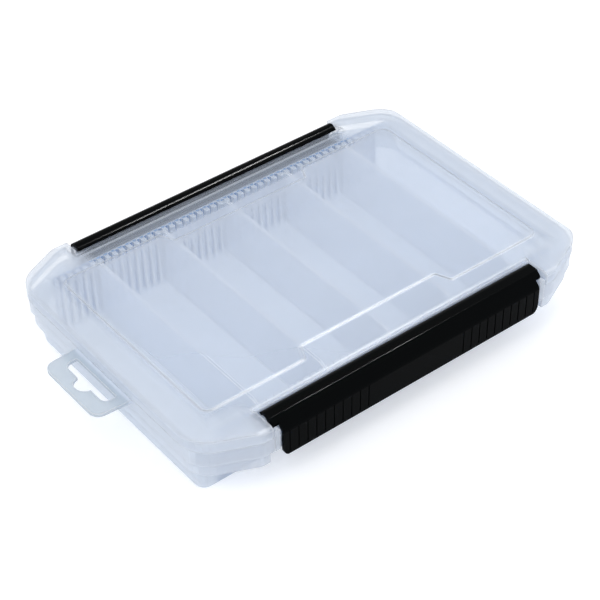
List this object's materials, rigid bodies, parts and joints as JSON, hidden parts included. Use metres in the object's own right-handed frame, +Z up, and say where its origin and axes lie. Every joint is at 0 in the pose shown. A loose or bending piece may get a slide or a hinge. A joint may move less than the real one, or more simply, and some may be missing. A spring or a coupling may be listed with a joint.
{
  "type": "compartment tackle box",
  "caption": "Flat translucent compartment box with a hinged lid, a full-length black snap latch, a black double-pivot hinge bar, loose dividers and a hang tab.",
  "frame": {"origin": "middle of the tray's flat bottom", "axes": "+Z up through the lid, +X along the length with the hang tab at -X, the latch at -Y and the hinge at +Y"},
  "size_m": [0.2749, 0.1822, 0.04],
  "materials": {
    "clear": "semi-gloss",
    "black": "gloss",
    "divider": "semi-gloss"
  },
  "bodies": {
    "tray": {"tray": "clear", "divider_1": "divider", "divider_2": "divider", "divider_3": "divider", "divider_4": "divider", "divider_5": "divider"},
    "hinge_bar": {"hinge_bar": "black"},
    "lid": {"lid": "clear"},
    "latch": {"latch": "black"}
  },
  "joints": [
    {"name": "bar_tilt", "type": "hinge", "parent": "tray", "child": "hinge_bar", "pos_m": [0, 0.086, 0.0225], "axis": [-1, 0, 0], "range_deg": [0, 85]},
    {"name": "lid_hinge", "type": "hinge", "parent": "hinge_bar", "child": "lid", "pos_m": [0, 0.0842, 0.0356], "axis": [-1, 0, 0], "range_deg": [0, 95]},
    {"name": "latch_pivot", "type": "hinge", "parent": "lid", "child": "latch", "pos_m": [0, -0.0807, 0.0356], "axis": [-1, 0, 0], "range_deg": [0, 90]}
  ]
}
